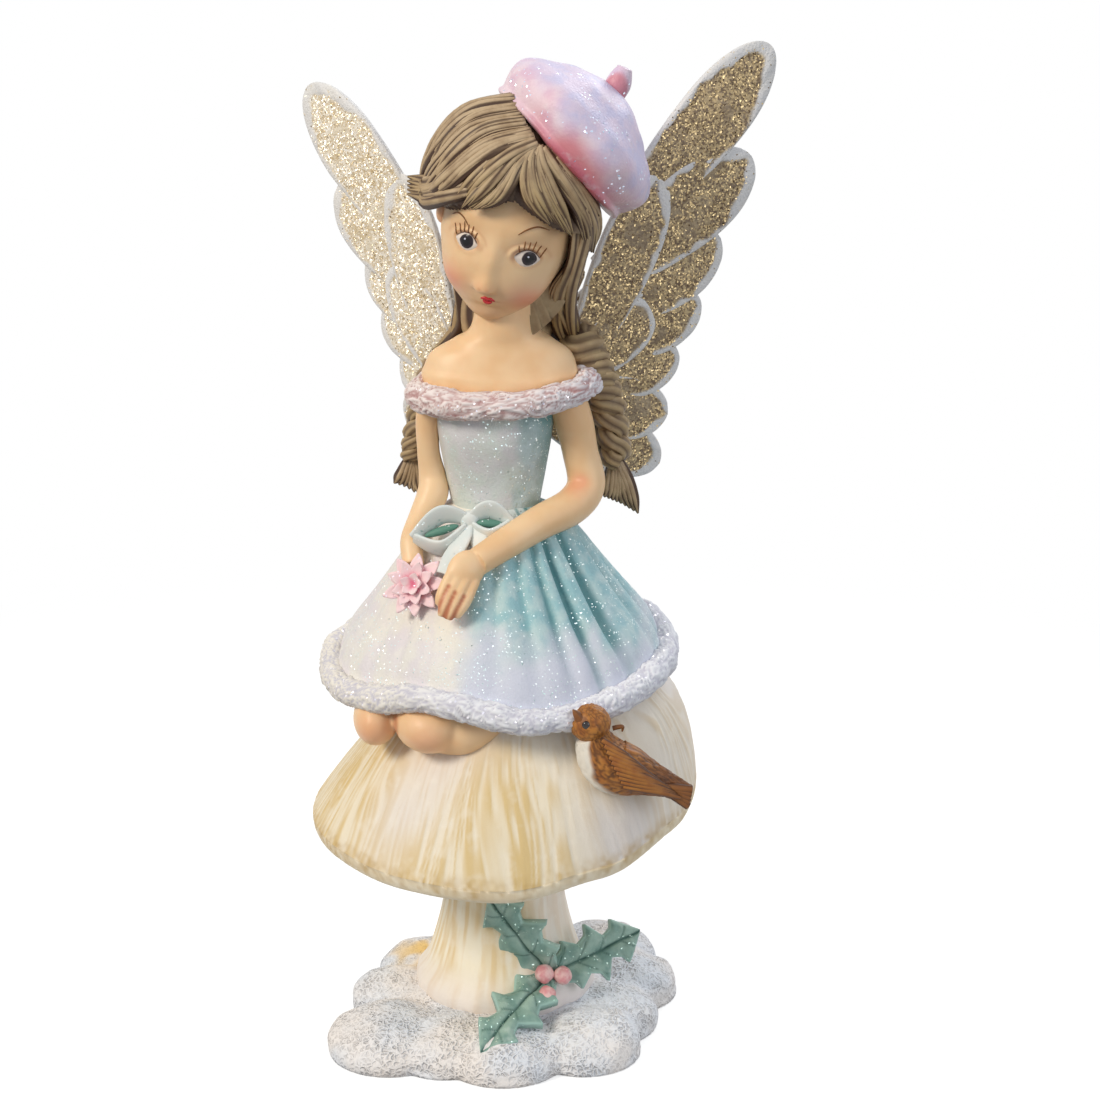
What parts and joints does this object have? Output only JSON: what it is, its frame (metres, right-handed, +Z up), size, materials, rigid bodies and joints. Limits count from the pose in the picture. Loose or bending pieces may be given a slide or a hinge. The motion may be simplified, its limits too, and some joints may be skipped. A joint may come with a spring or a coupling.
{
  "type": "fairy figurine",
  "caption": "Painted resin figurine of a winged girl in a beret kneeling on a toadstool, with a bird and holly on a snowy base.",
  "frame": {"origin": "on the flat underside, directly below the middle of the mushroom stem", "axes": "+Z up through the stem, -Y out of the front that faces the viewer, +X to the viewer's right"},
  "size_m": [0.0956, 0.0788, 0.2002],
  "materials": {
    "casting": "cast polyresin, hand painted in matt colours with glitter varnish on the dress, beret and holly",
    "wings": "cast polyresin, white paint with coarse champagne glitter"
  },
  "bodies": {
    "root": {"figurine": "casting", "wing_left": "wings", "wing_right": "wings"}
  },
  "joints": []
}
